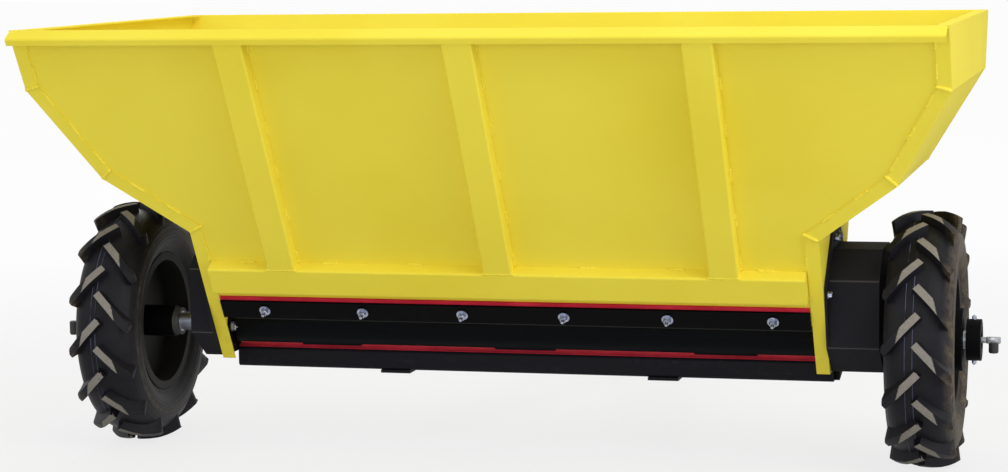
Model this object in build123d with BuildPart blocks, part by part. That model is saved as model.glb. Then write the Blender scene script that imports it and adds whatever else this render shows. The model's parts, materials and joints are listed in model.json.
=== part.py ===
"""Towed sand spreader: folded V hopper, feed roller on a live axle, two lug tyres and an A-frame drawbar.

Millimetres, Z up, Y forward (towing direction), X to the right as seen from behind.
The origin lies on the ground, under the middle of the whole machine. Sizes across the machine count from
the hopper's middle, and each piece moves by MID_X as it is kept, since the two sides differ in width.
"""
import os
from math import cos, hypot, radians, sin, tan

from build123d import *

# hopper: rises count up from the foot of the end walls, spreads count out from the legs
SHEET = 3
BEND_R = 4
FOOT_Z = 178
LEG_RISE = 268
LOWER_RISE = 107
UPPER_RISE = 174
BAND_RISE = 113
LEG_HALF = 601
LOWER_SPREAD = 148
UPPER_SPREAD = 102
FOOT_HALF = 60.5
RIM_HALF = 464.5
END_FLANGE = 25
END_LIP = 20
LIP_OUT = 30
LIP_RETURN = 14
SEAM = 0.5
NOTCH_R = 30

# pieces on the long walls: heights run up the slope from the foot
WALL_FOOT = 115.5
RIBS = (("left", -0.5), ("mid", 0), ("right", 0.5))
RIB_WIDTH = 56
RIB_DEEP = 27
BAR_FOOT = 184
BAR_TALL = 60
END_ROOM = 2
GATE_FOOT = 111.5
GATE_TALL = 40
GATE = 5
GATE_BOLTS = 6
GATE_PITCH = 0.3296
GATE_SHIFT = 10
SLOT_TALL = 28
SLOT_WIDE = 11
SEAL = 4
SEAL_SHOW = 7.5
FLAP_BEND = 52
FLAP_STEP = 8

# axle line
AXLE_Z = 240
SHAFT_R = 17.5
RUN_GAP = 0.05
ROLLER_R = 38
ROLLER_WALL = 4
ROLLER_ROOM = 15
STUD_LONG = 122
STUD_WIDE = 14
STUD_HIGH = 2.6
STUD_TAPER = 18
STUDS = 3
STUD_PITCH = 0.656
STUD_STAGGER = (0, 120, -120)
SEAL_ROOM = 9.9
WIPER_ANGLE = 19
FLAP_ANGLE = 26
FLAP_TOE = 16

# bearings and side boxes
BEARING_R = 46
BEARING_FLANGE = 6
SPIGOT_R = 29
SPIGOT_LONG = 22
PLATE = 5
BOX_WIDE_RIGHT = 92
BOX_WIDE_LEFT = 40
BOX_WALL = 4
BOX_HALF = 119
BOX_TOP_HALF = 61
BOX_TOP = 174
BOX_SHOULDER = 121
BOX_WAIST = 4
BOX_FOOT = 60
BOX_FOOT_HALF = 40
BOX_SEAT = 18
BOX_SEAT_TOP = 28
BOX_BORE_R = 24

# wheels
TYRE_GAP_RIGHT = 13
TYRE_GAP_LEFT = 86
TYRE_WIDE = 128
BEAD_R = 127
BEAD_HALF = 46
TYRE_SIDES = 28
LUGS = 14
LUG_HIGH = 16
LUG_WIDE = 16
LUG_RUN = ((-3, 32), (28, 0), (63, -40))
LUG_CROWN = ((30, 0), (50, 5), (63, 13))
LUG_PHASE_RIGHT = 14.6
LUG_PHASE_LEFT = 12.86
RIM_LIP = 11
RIM_LIP_WIDE = 5
RIM_WALL = 5
DISC_SET = -4
DISC = 6
HUB_R = 31
HUB_GAP_RIGHT = 24
HUB_GAP_LEFT = 64
HUB_REACH = 67
HUB_FLANGE_R = 58.5
HUB_FLANGE = 14
HUB_BEARING_R = 27
HUB_BEARING = 13
COLLAR_GAP = 6
COLLAR_LONG = 27
COLLAR_R = 39
SHAFT_INSET = 3
PIN_R = 6
PIN_LONG = 35
PIN_DRAWN_RIGHT = 0
PIN_DRAWN_LEFT = 35
WASHER_R = 12.5
WASHER = 4
GRIP_IN = 12
GRIP_LONG = 17
GRIP_WIDE = 9
GRIP_TALL = 24
KNOB_R = 9.5
KNOB_LONG = 15

# frame beam and drawbar
BEAM_BACK = 12
BEAM_DEEP = 100
BEAM_TALL = 40
BEAM_WALL = 4
BEAM_R = 8
BEAM_ROOM = 1
BEAM_SHORT = 4
LOBE_DEEP = 72
LOBE_CUT = 16
FOOT_PLATE = 6
FOOT_PLATE_WIDE = 60
ARM_WIDE = 60
ARM_TALL = 40
ARM_WALL = 3
ARM_FOOT_X = 269
ARM_HEAD_X = 41
HEAD_Y = 1040
HEAD_WIDE = 160
HEAD_TALL = 130
HEAD = 10
HEAD_CORNER = 12
HEAD_DROP = 15
NECK = 60
NECK_WALL = 4
NECK_LONG = 150
SLEEVE_LONG = 65
SLEEVE_END = 20
BALL_OUT = 62
BALL_Z = 352
BALL_R = 25.4
NECK_RISE = 8
NOSE_R = 34
NOSE_TOP = 33
NOSE_EDGE = 6
CUP_DEEP = 18
BRIDGE_WIDE = 50
BRIDGE_TALL = 36
LEVER = 6
LEVER_WIDE = 24
LEVER_LONG = 96
LEVER_RISE = 26

# prop stand
STAND_OUT = 70
LEG_R = 24.15
LEG_WALL = 3.2
LEG_LONG = 480
PAD_R = 60
PAD = 8
CLAMP_HALF = 30
CLAMP_TALL = 100
CLAMP_EDGE = 8
CLAMP_GAP = 0.25
TAB_WIDE = 44
TAB_TALL = 56
BOSS_R = 11
BOSS_LONG = 16
SCREW_R = 6
SCREW_LONG = 55
HANDLE_R = 5
HANDLE_LONG = 90

# places that follow from the sizes above
RIM_Z = FOOT_Z + LEG_RISE + LOWER_RISE + UPPER_RISE + BAND_RISE
RIM_X = LEG_HALF + LOWER_SPREAD + UPPER_SPREAD
SLANT = hypot(RIM_Z - FOOT_Z, RIM_HALF - FOOT_HALF)
C = (RIM_Z - FOOT_Z) / SLANT
S = (RIM_HALF - FOOT_HALF) / SLANT
END_RUN = [
    (RIM_X, RIM_Z), (RIM_X, RIM_Z - BAND_RISE), (RIM_X - UPPER_SPREAD, RIM_Z - BAND_RISE - UPPER_RISE),
    (LEG_HALF, FOOT_Z + LEG_RISE), (LEG_HALF, FOOT_Z)]
BAR_TOP = BAR_FOOT + BAR_TALL
BAR_HALF = LEG_HALF - END_FLANGE - END_ROOM
SEAL_TOP = GATE_FOOT + GATE_TALL + SEAL_SHOW
SWEEP_R = ROLLER_R + STUD_HIGH + SEAL_ROOM + SEAL / 2
FLAP_Z = AXLE_Z - SWEEP_R * cos(radians(FLAP_ANGLE))
ROLLER_HALF = LEG_HALF - ROLLER_ROOM
PLATE_OUT = LEG_HALF + PLATE
BEAM_HALF = LEG_HALF - BEAM_SHORT
SHAFT_REACH = HUB_REACH + COLLAR_GAP + COLLAR_LONG - SHAFT_INSET
WHEEL_RIGHT = PLATE_OUT + BOX_WIDE_RIGHT + TYRE_GAP_RIGHT + TYRE_WIDE / 2
WHEEL_LEFT = PLATE_OUT + BOX_WIDE_LEFT + TYRE_GAP_LEFT + TYRE_WIDE / 2
MID_X = (WHEEL_LEFT + PIN_DRAWN_LEFT - WHEEL_RIGHT - PIN_DRAWN_RIGHT) / 2
WHEEL_R = AXLE_Z
CARCASS_R = WHEEL_R - LUG_HIGH
BEAM_TOP = FLAP_Z - SEAL / 2 - BEAM_ROOM
BEAM_MID = BEAM_TOP - BEAM_TALL / 2
BEAM_FRONT = BEAM_BACK + BEAM_DEEP
NECK_Z = BALL_Z + NECK_RISE
HEAD_Z = NECK_Z - HEAD_DROP
NECK_END = HEAD_Y + HEAD + NECK_LONG
BALL_Y = NECK_END + BALL_OUT
STAND_X = -(NECK / 2 + CLAMP_HALF + NECK_WALL)
STAND_Y = HEAD_Y + STAND_OUT
REAR = RIM_HALF + C * LIP_OUT - BEND_R * (C + S - 1)
AXLE_Y = -(BALL_Y + NOSE_R - REAR) / 2
FAR = 2 * (RIM_X + RIM_HALF)
LONG = ("rear", "front")
SIDES = ("right", "left")
SIDE_SIZES = (
    ("right", BOX_WIDE_RIGHT, WHEEL_RIGHT, HUB_GAP_RIGHT, PIN_DRAWN_RIGHT, LUG_PHASE_RIGHT),
    ("left", BOX_WIDE_LEFT, WHEEL_LEFT, HUB_GAP_LEFT, PIN_DRAWN_LEFT, LUG_PHASE_LEFT))

os.makedirs("parts", exist_ok=True)
SLOPE = Plane((0, AXLE_Y - FOOT_HALF, FOOT_Z), x_dir=(0, -C, -S), z_dir=(-1, 0, 0))
ACROSS = Plane((0, AXLE_Y, 0), x_dir=(0, 1, 0), z_dir=(1, 0, 0))
MIDDLE = Plane((0, AXLE_Y, 0), x_dir=(1, 0, 0), z_dir=(0, -1, 0))
FACING = Plane((0, 0, 0), x_dir=(1, 0, 0), z_dir=(0, -1, 0))
LINE = Plane((0, AXLE_Y, AXLE_Z), x_dir=(1, 0, 0), z_dir=(0, -1, 0))
SPIN = Axis((0, AXLE_Y, AXLE_Z), (1, 0, 0))


def shift(path, gap):
    """Move an open run of points to its left by gap, with mitred corners."""
    sides = []
    for (ax, ay), (bx, by) in zip(path, path[1:]):
        span = hypot(bx - ax, by - ay)
        sides.append(((ay - by) / span, (bx - ax) / span))
    moved = []
    for i, (px, py) in enumerate(path):
        ux, uy = sides[max(i - 1, 0)]
        vx, vy = sides[min(i, len(sides) - 1)]
        share = gap / (1 + ux * vx + uy * vy)
        moved.append((px + share * (ux + vx), py + share * (uy + vy)))
    return moved


def ribbon(path, left, right):
    """Outline of a sheet that follows a run of points."""
    return shift(path, left) + shift(path, -right)[::-1]


def on_slope(n, s):
    """Y and Z, from the axle, of a point n out of the rear wall and s up its slope."""
    return (-FOOT_HALF - C * n - S * s, FOOT_Z - S * n + C * s)


def slope_plane(n, s, z_dir):
    """Plane at a point of the rear wall, its x along the wall's length."""
    y, z = on_slope(n, s)
    return Plane((0, AXLE_Y + y, z), x_dir=(1, 0, 0), z_dir=z_dir)


def keep(builder, label):
    placed = builder.part.moved(Location((MID_X, 0, 0)))
    placed.label = label
    export_step(placed, f"parts/{label}.step")


def keep_both(builder, label, about, names):
    """Export a piece under the first name and its mirror image under the second."""
    keep(builder, f"{label}_{names[0]}")
    with BuildPart() as twin:
        mirror(builder.part, about=about)
    keep(twin, f"{label}_{names[1]}")


def keep_side(builder, label, side):
    """Export a piece of one side, which is drawn on the right and mirrored for the left."""
    with BuildPart() as placed:
        if side == "left":
            mirror(builder.part, about=Plane.YZ)
        else:
            add(builder.part)
    keep(placed, f"{label}_{side}")


def keep_pair(right, left, label):
    """Export the pieces of both sides as one, the left one drawn on the right."""
    with BuildPart() as pair:
        add(right)
        mirror(left, about=Plane.YZ)
    keep(pair, label)


# long walls: one sheet each, its top edge folded out and back down as a lip
inner_run = shift(END_RUN, -SHEET)
open_top = [(inner_run[0][0], RIM_Z + RIM_HALF)] + inner_run[1:]
with BuildPart() as long_wall:
    with BuildSketch(SLOPE) as wall_section:
        Polygon((-SHEET, WALL_FOOT), (0, WALL_FOOT), (0, SLANT - SHEET), (LIP_OUT - SHEET, SLANT - SHEET),
                (LIP_OUT - SHEET, SLANT - LIP_RETURN), (LIP_OUT, SLANT - LIP_RETURN), (LIP_OUT, SLANT),
                (-SHEET, SLANT), align=None)
        fillet(wall_section.vertices().group_by(Axis.Y)[-1], BEND_R)
    extrude(amount=FAR, both=True)
    with BuildSketch(FACING):
        Polygon(*open_top, *[(-x, z) for x, z in open_top[::-1]], align=None)
    extrude(amount=FAR, both=True, mode=Mode.INTERSECT)
keep_both(long_wall, "hopper_wall", MIDDLE, LONG)

# end walls: folded sheet with flanges turned in over the long walls, a top lip and a notch for the shaft
with BuildPart() as flanges:
    with BuildSketch(SLOPE):
        Rectangle(SHEET, SLANT - SHEET - SEAM, align=(Align.MIN, Align.MIN))
    extrude(amount=FAR, both=True)
    mirror(about=MIDDLE)
    with BuildSketch(FACING):
        Polygon(*ribbon(END_RUN, 0, END_FLANGE), align=None)
    extrude(amount=FAR, both=True, mode=Mode.INTERSECT)
with BuildPart() as end_wall:
    with BuildSketch(FACING):
        Polygon(*ribbon(END_RUN, 0, SHEET), align=None)
        with Locations((RIM_X - SHEET, RIM_Z)):
            Rectangle(END_LIP, SHEET, align=(Align.MAX, Align.MAX))
    extrude(amount=FAR, both=True)
    with BuildSketch(ACROSS):
        Polygon((-FOOT_HALF, FOOT_Z), (FOOT_HALF, FOOT_Z), (RIM_HALF, RIM_Z), (-RIM_HALF, RIM_Z), align=None)
    extrude(amount=FAR, mode=Mode.INTERSECT)
    for side in (-1, 1):
        with Locations((RIM_X - SHEET, AXLE_Y + side * RIM_HALF, RIM_Z)):
            Box(2 * END_LIP, END_LIP, 2 * SHEET, align=(Align.MAX, Align.CENTER, Align.CENTER),
                mode=Mode.SUBTRACT)
    add(flanges.part)
    with BuildSketch(ACROSS):
        with Locations((0, AXLE_Z)):
            Circle(NOTCH_R)
            Rectangle(2 * NOTCH_R, AXLE_Z, align=(Align.CENTER, Align.MAX))
        Rectangle(2 * RIM_HALF, BEAM_TOP + BEAM_ROOM, align=(Align.MIN, Align.MIN))
    extrude(amount=FAR, mode=Mode.SUBTRACT)
keep_both(end_wall, "hopper_end", Plane.YZ, SIDES)

# ribs, and the cross bar under them
for name, share in RIBS:
    x = share * RIM_X
    with BuildPart() as rib:
        with BuildSketch(slope_plane(0, SLANT - SHEET, (0, S, -C))) as rib_section:
            with Locations((x, 0)):
                Rectangle(RIB_WIDTH, RIB_DEEP, align=(Align.CENTER, Align.MIN))
            fillet(rib_section.vertices().group_by(Axis.Y)[-1], BEND_R)
            with Locations((x, 0)):
                Rectangle(RIB_WIDTH - 2 * SHEET, RIB_DEEP - SHEET, align=(Align.CENTER, Align.MIN),
                          mode=Mode.SUBTRACT)
        extrude(amount=SLANT - SHEET - BAR_TOP)
    keep_both(rib, f"rib_{name}", MIDDLE, LONG)
with BuildPart() as cross_bar:
    with BuildSketch(SLOPE) as bar_section:
        with Locations((0, BAR_FOOT)):
            Rectangle(RIB_DEEP, BAR_TALL, align=(Align.MIN, Align.MIN))
        fillet(bar_section.vertices().group_by(Axis.X)[-1], BEND_R)
    extrude(amount=BAR_HALF, both=True)
    with BuildSketch(SLOPE):
        with Locations((0, BAR_FOOT + SHEET)):
            Rectangle(RIB_DEEP - SHEET, BAR_TALL - 2 * SHEET, align=(Align.MIN, Align.MIN))
    extrude(amount=BAR_HALF - SHEET, both=True, mode=Mode.SUBTRACT)
keep_both(cross_bar, "cross_bar", MIDDLE, LONG)

# slotted gate plates, and the soft sheets they clamp: a wiper behind the roller, a flap under its front
with BuildPart() as gate:
    with BuildSketch(slope_plane(SEAL, GATE_FOOT + GATE_TALL / 2, (0, -C, -S))):
        Rectangle(2 * BAR_HALF, GATE_TALL)
        with Locations((GATE_SHIFT, 0)):
            with GridLocations(GATE_PITCH * LEG_HALF, 0, GATE_BOLTS, 1):
                Rectangle(SLOT_WIDE, SLOT_TALL, mode=Mode.SUBTRACT)
    extrude(amount=GATE)
keep_both(gate, "gate_plate", MIDDLE, LONG)
wiper_run = [
    on_slope(SEAL / 2, SEAL_TOP), on_slope(SEAL / 2, GATE_FOOT),
    (-SWEEP_R * cos(radians(WIPER_ANGLE)), AXLE_Z + SWEEP_R * sin(radians(WIPER_ANGLE)))]
flap_tip = -SWEEP_R * sin(radians(FLAP_ANGLE))
flap_run = [
    on_slope(SEAL / 2, SEAL_TOP), on_slope(SEAL / 2, FLAP_BEND),
    (flap_tip - FLAP_TOE, FLAP_Z), (flap_tip, FLAP_Z)]
for name, run, way, half in (("seal_rear", wiper_run, 1, BAR_HALF), ("seal_front", flap_run, -1, BEAM_HALF)):
    with BuildPart() as seal:
        with BuildSketch(ACROSS):
            with BuildLine():
                FilletPolyline(*[(way * y, z) for y, z in run], radius=2 * SEAL)
            trace(line_width=SEAL)
        extrude(amount=half, both=True)
        for end in (-1, 1):
            with Locations((end * (BAR_HALF + FAR / 2), AXLE_Y, run[1][1] - FLAP_STEP)):
                Box(FAR, FAR, FAR, align=(Align.CENTER, Align.CENTER, Align.MIN), mode=Mode.SUBTRACT)
    keep(seal, name)

# feed roller with three staggered rows of tapered bars, on the live axle
with BuildPart() as stud:
    with BuildSketch(Plane((0, AXLE_Y, AXLE_Z - ROLLER_R + 1), x_dir=(1, 0, 0), z_dir=(0, 0, -1))):
        Rectangle(STUD_LONG, STUD_WIDE)
    extrude(amount=STUD_HIGH + 1, taper=STUD_TAPER)
with BuildPart() as roller:
    with BuildSketch(ACROSS):
        with Locations((0, AXLE_Z)):
            Circle(ROLLER_R)
            Circle(ROLLER_R - ROLLER_WALL, mode=Mode.SUBTRACT)
    extrude(amount=ROLLER_HALF, both=True)
    for x in (-ROLLER_HALF, ROLLER_HALF - ROLLER_WALL):
        with BuildSketch(ACROSS.offset(x)):
            with Locations((0, AXLE_Z)):
                Circle(ROLLER_R)
                Circle(SHAFT_R, mode=Mode.SUBTRACT)
        extrude(amount=ROLLER_WALL)
    studs = []
    for row, stagger in enumerate(STUD_STAGGER):
        turned = stud.part.rotate(SPIN, 360 / len(STUD_STAGGER) * row)
        for step in range(STUDS):
            x = STUD_PITCH * LEG_HALF * (step - (STUDS - 1) / 2) + stagger
            studs.append(turned.translate((x, 0, 0)))
    add(studs)
keep(roller, "feed_roller")
with BuildPart() as shaft:
    with BuildSketch(ACROSS.offset(-WHEEL_LEFT - SHAFT_REACH)):
        with Locations((0, AXLE_Z)):
            Circle(SHAFT_R)
    extrude(amount=WHEEL_LEFT + WHEEL_RIGHT + 2 * SHAFT_REACH)
keep(shaft, "axle_shaft")

# side boxes: a plate bolted to the end wall, which also carries the beam's end, and a folded cover
half_box = [(BOX_TOP_HALF, BOX_TOP), (BOX_HALF, BOX_SHOULDER), (BOX_HALF, -BOX_WAIST),
            (BOX_FOOT_HALF, -BOX_FOOT)]
box_run = [(-y, AXLE_Z + z) for y, z in half_box] + [(y, AXLE_Z + z) for y, z in half_box[::-1]]
half_plate = [(BOX_TOP_HALF, BOX_TOP + BOX_SEAT_TOP), (BOX_HALF + 2 * BOX_SEAT, BOX_SHOULDER - BOX_SEAT / 2),
              (BOX_HALF, -BOX_WAIST), (BOX_FOOT_HALF, -BOX_FOOT)]
plate_run = [(-y, AXLE_Z + z) for y, z in half_plate] + [(y, AXLE_Z + z) for y, z in half_plate[::-1]]
lobe_back = BEAM_FRONT - LOBE_DEEP
pad_run = [(lobe_back, BEAM_TOP), (lobe_back, BEAM_TOP - BEAM_TALL),
           (BEAM_FRONT, BEAM_TOP - BEAM_TALL + LOBE_CUT), (BEAM_FRONT, BEAM_TOP)]
lobe_run = pad_run[1:] + [(BOX_HALF, AXLE_Z - BOX_WAIST), (lobe_back, AXLE_Z - BOX_WAIST)]
for side, box_wide, _, _, _, _ in SIDE_SIZES:
    with BuildPart() as side_box:
        with BuildSketch(ACROSS.offset(LEG_HALF)):
            Polygon(*plate_run, align=None)
            Polygon(*lobe_run, align=None)
        extrude(amount=PLATE)
        with BuildSketch(ACROSS.offset(BEAM_HALF)):
            Polygon(*pad_run, align=None)
        extrude(amount=PLATE + BEAM_SHORT)
        with BuildSketch(ACROSS.offset(PLATE_OUT)):
            Polygon(*box_run, align=None)
        extrude(amount=box_wide)
        with BuildSketch(ACROSS.offset(PLATE_OUT)):
            Polygon(*box_run, align=None)
            offset(amount=-BOX_WALL, kind=Kind.INTERSECTION, mode=Mode.REPLACE)
        extrude(amount=box_wide - BOX_WALL, mode=Mode.SUBTRACT)
        with BuildSketch(ACROSS.offset(LEG_HALF)):
            with Locations((0, AXLE_Z)):
                Circle(SPIGOT_R + CLAMP_GAP)
        extrude(amount=PLATE, mode=Mode.SUBTRACT)
        with BuildSketch(ACROSS.offset(PLATE_OUT)):
            with Locations((0, AXLE_Z)):
                Circle(BOX_BORE_R)
        extrude(amount=box_wide, mode=Mode.SUBTRACT)
    keep_side(side_box, "side_box", side)
FLANGE_OUT = LEG_HALF - SHEET
with BuildPart() as bearing:
    with BuildSketch(LINE):
        Polygon((FLANGE_OUT - BEARING_FLANGE, SHAFT_R + RUN_GAP), (FLANGE_OUT - BEARING_FLANGE, BEARING_R),
                (FLANGE_OUT, BEARING_R), (FLANGE_OUT, SPIGOT_R), (FLANGE_OUT + SPIGOT_LONG, SPIGOT_R),
                (FLANGE_OUT + SPIGOT_LONG, SHAFT_R + RUN_GAP), align=None)
    revolve(axis=SPIN)
keep_pair(bearing.part, bearing.part, "shaft_bearings")

# tyre, drawn at the machine's middle: a many-sided carcass, whose flat faces the chevron lugs meet
LUG_ROOT = CARCASS_R - 3 * LUG_HIGH
CROWN = ((0, 1.0), (TYRE_WIDE / 2 - 7.5, 0.86), (TYRE_WIDE / 2, 0.71))
HOLLOW = ((BEAD_HALF, 0.12), (TYRE_WIDE / 2 - 2.5, 0.37), (TYRE_WIDE / 2, 0.57))
with BuildPart() as lug:
    with BuildSketch(Plane((0, AXLE_Y, AXLE_Z + CARCASS_R), x_dir=(1, 0, 0), z_dir=(0, 0, 1))):
        Polygon(*ribbon(LUG_RUN, LUG_WIDE / 2, LUG_WIDE / 2), align=None)
    extrude(amount=3 * LUG_HIGH, both=True)
    with BuildSketch(LINE):
        Polygon((-TYRE_WIDE, LUG_ROOT), (-TYRE_WIDE, WHEEL_R),
                *[(x, WHEEL_R - fall) for x, fall in LUG_CROWN],
                (LUG_CROWN[-1][0], LUG_ROOT), align=None)
    extrude(amount=TYRE_WIDE, both=True, mode=Mode.INTERSECT)
    with BuildSketch(ACROSS):
        with Locations((0, AXLE_Z)):
            RegularPolygon(WHEEL_R, 2 * TYRE_SIDES)
    extrude(amount=TYRE_WIDE, both=True, mode=Mode.INTERSECT)
SLICE = 360 / TYRE_SIDES
FLAT = cos(radians(SLICE / 2))
wedge = FAR * tan(radians(SLICE / 2))
wall_run = [(x, FLAT * (BEAD_R + share * (CARCASS_R - BEAD_R))) for x, share in CROWN + HOLLOW[::-1]]
wall_run.append((BEAD_HALF, BEAD_R))
with BuildPart() as flat_side:
    with BuildSketch(LINE):
        Polygon(*wall_run, *[(-x, r) for x, r in wall_run[:0:-1]], align=None)
    extrude(amount=CARCASS_R, both=True)
    with BuildSketch(ACROSS):
        with Locations((0, AXLE_Z)):
            Polygon((0, 0), (wedge, FAR), (-wedge, FAR), align=None)
    extrude(amount=TYRE_WIDE, both=True, mode=Mode.INTERSECT)
with BuildPart() as tyre:
    add([flat_side.part.rotate(SPIN, SLICE * (i + 0.5)) for i in range(TYRE_SIDES)])
    far = mirror(lug.part, about=Plane.YZ, mode=Mode.PRIVATE)
    bars = []
    for i in range(LUGS):
        bars.append(lug.part.rotate(SPIN, 360 / LUGS * i))
        bars.append(far.rotate(SPIN, 360 / LUGS * (i + 0.5)))
    add(bars)

# wheels: tyre, rim, hub and hub bearing, then the lock collar and lock pin outside each
RIM_OUT = BEAD_HALF + RIM_LIP_WIDE
rim_run = [(-RIM_OUT, BEAD_R - RIM_WALL), (-RIM_OUT, BEAD_R + RIM_LIP), (-BEAD_HALF, BEAD_R),
           (BEAD_HALF, BEAD_R), (RIM_OUT, BEAD_R + RIM_LIP), (RIM_OUT, BEAD_R - RIM_WALL)]
collars = []
pins = []
for side, box_wide, wheel_x, hub_gap, drawn, phase in SIDE_SIZES:
    hub_in = PLATE_OUT + box_wide + hub_gap
    hub_out = wheel_x + HUB_REACH
    collar_in = hub_out + COLLAR_GAP
    shaft_end = wheel_x + SHAFT_REACH
    grip_x = shaft_end + SHAFT_INSET + GRIP_IN + drawn
    with BuildPart() as turned_tyre:
        add(tyre.part.rotate(SPIN, phase).translate((wheel_x, 0, 0)))
    keep_side(turned_tyre, "tyre", side)
    with BuildPart() as wheel_rim:
        with BuildSketch(LINE):
            with Locations((wheel_x, 0)):
                Polygon(*rim_run, align=None)
            with Locations((wheel_x + DISC_SET, HUB_R)):
                Rectangle(DISC, BEAD_R - RIM_WALL / 2 - HUB_R, align=(Align.CENTER, Align.MIN))
        revolve(axis=SPIN)
    keep_side(wheel_rim, "wheel_rim", side)
    with BuildPart() as hub:
        with BuildSketch(LINE):
            Polygon((hub_in + HUB_BEARING, SHAFT_R + RUN_GAP), (hub_in + HUB_BEARING, HUB_R),
                    (hub_out - HUB_FLANGE, HUB_R), (hub_out - HUB_FLANGE, HUB_FLANGE_R),
                    (hub_out, HUB_FLANGE_R), (hub_out, SHAFT_R + RUN_GAP), align=None)
        revolve(axis=SPIN)
    keep_side(hub, "hub", side)
    with BuildPart() as hub_bearing:
        with BuildSketch(ACROSS.offset(hub_in)):
            with Locations((0, AXLE_Z)):
                Circle(HUB_BEARING_R)
                Circle(SHAFT_R + RUN_GAP, mode=Mode.SUBTRACT)
        extrude(amount=HUB_BEARING)
    keep_side(hub_bearing, "hub_bearing", side)
    with BuildPart() as collar:
        with BuildSketch(ACROSS.offset(collar_in)):
            with Locations((0, AXLE_Z)):
                Circle(COLLAR_R)
                Circle(SHAFT_R, mode=Mode.SUBTRACT)
        extrude(amount=COLLAR_LONG)
    collars.append(collar.part)
    with BuildPart() as lock_pin:
        with BuildSketch(ACROSS.offset(shaft_end)):
            with Locations((0, AXLE_Z)):
                Circle(PIN_R)
        extrude(amount=SHAFT_INSET + PIN_LONG + drawn)
        with BuildSketch(ACROSS.offset(shaft_end)):
            with Locations((0, AXLE_Z)):
                Circle(WASHER_R)
        extrude(amount=SHAFT_INSET + WASHER)
        with Locations((grip_x, AXLE_Y, AXLE_Z)):
            Box(GRIP_LONG, GRIP_WIDE, GRIP_TALL, align=(Align.MIN, Align.CENTER, Align.MAX))
        with Locations((grip_x + GRIP_LONG / 2, AXLE_Y, AXLE_Z - GRIP_TALL)):
            Cylinder(KNOB_R, KNOB_LONG, align=(Align.CENTER, Align.CENTER, Align.MAX))
    pins.append(lock_pin.part)
keep_pair(*collars, "lock_collars")
keep_pair(*pins, "lock_pins")

# frame beam between the side boxes' plates
with BuildPart() as beam:
    with BuildSketch(ACROSS):
        with Locations((BEAM_BACK + BEAM_DEEP / 2, BEAM_MID)):
            RectangleRounded(BEAM_DEEP, BEAM_TALL, BEAM_R)
            RectangleRounded(BEAM_DEEP - 2 * BEAM_WALL, BEAM_TALL - 2 * BEAM_WALL, BEAM_R - BEAM_WALL,
                             mode=Mode.SUBTRACT)
    extrude(amount=BEAM_HALF, both=True)
keep(beam, "frame_beam")
with BuildPart() as foot_plate:
    with Locations((ARM_FOOT_X, AXLE_Y + BEAM_BACK, BEAM_TOP - BEAM_TALL)):
        Box(FOOT_PLATE_WIDE, BEAM_DEEP, FOOT_PLATE, align=(Align.CENTER, Align.MIN, Align.MAX))
keep_both(foot_plate, "foot_plate", Plane.YZ, SIDES)

# drawbar: two rising tubes to a head plate, a neck, the ball coupling and its lever
arm_way = Vector(ARM_HEAD_X - ARM_FOOT_X, HEAD_Y - BEAM_FRONT, HEAD_Z - BEAM_MID)
arm_back = Vector(ARM_FOOT_X, AXLE_Y + BEAM_FRONT, BEAM_MID) - arm_way / 10
with BuildPart() as arm:
    with BuildSketch(Plane(arm_back, x_dir=(arm_way.Y, -arm_way.X, 0), z_dir=arm_way)):
        Rectangle(ARM_WIDE, ARM_TALL)
        Rectangle(ARM_WIDE - 2 * ARM_WALL, ARM_TALL - 2 * ARM_WALL, mode=Mode.SUBTRACT)
    extrude(amount=arm_way.length * 1.2)
    split(bisect_by=Plane((0, AXLE_Y + BEAM_FRONT, 0), z_dir=(0, 1, 0)), keep=Keep.TOP)
    split(bisect_by=Plane((0, AXLE_Y + HEAD_Y, 0), z_dir=(0, 1, 0)), keep=Keep.BOTTOM)
keep_both(arm, "drawbar_arm", Plane.YZ, SIDES)
with BuildPart() as head:
    with Locations((0, AXLE_Y + HEAD_Y, HEAD_Z)):
        Box(HEAD_WIDE, HEAD, HEAD_TALL, align=(Align.CENTER, Align.MIN, Align.CENTER))
    chamfer(head.edges().filter_by(Axis.Y), HEAD_CORNER)
    with BuildSketch(FACING.offset(-(AXLE_Y + HEAD_Y + HEAD))):
        with Locations((0, NECK_Z)):
            Rectangle(NECK, NECK)
            Rectangle(NECK - 2 * NECK_WALL, NECK - 2 * NECK_WALL, mode=Mode.SUBTRACT)
    extrude(amount=-NECK_LONG)
keep(head, "drawbar_head")
SLEEVE = NECK + 2 * NECK_WALL
BALL = Plane((0, AXLE_Y + BALL_Y, BALL_Z), x_dir=(1, 0, 0), z_dir=(0, -1, 0))
UPRIGHT = Axis((0, AXLE_Y + BALL_Y, 0), (0, 0, 1))
nose = [(0, -CUP_DEEP), (NOSE_R, -CUP_DEEP), (NOSE_R, NOSE_TOP - NOSE_EDGE), (NOSE_R - NOSE_EDGE, NOSE_TOP),
        (0, NOSE_TOP)]
cup = [(0, -CUP_DEEP), (BALL_R, -CUP_DEEP), (BALL_R, BALL_R), (0, BALL_R)]
with BuildPart() as coupling:
    with Locations((0, AXLE_Y + NECK_END + SLEEVE_END, NECK_Z)):
        Box(SLEEVE, SLEEVE_LONG + SLEEVE_END, SLEEVE, align=(Align.CENTER, Align.MAX, Align.CENTER))
    with Locations((0, AXLE_Y + BALL_Y, BALL_Z)):
        Box(BRIDGE_WIDE, BALL_OUT - SLEEVE_END / 2, BRIDGE_TALL,
            align=(Align.CENTER, Align.MAX, Align.CENTER))
    with BuildSketch(BALL):
        Polygon(*nose, align=None)
    revolve(axis=UPRIGHT)
    with Locations((0, AXLE_Y + NECK_END, NECK_Z)):
        Box(NECK, SLEEVE_LONG, NECK, align=(Align.CENTER, Align.MAX, Align.CENTER), mode=Mode.SUBTRACT)
    with BuildSketch(BALL):
        Polygon(*cup, align=None)
    revolve(axis=UPRIGHT, mode=Mode.SUBTRACT)
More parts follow.
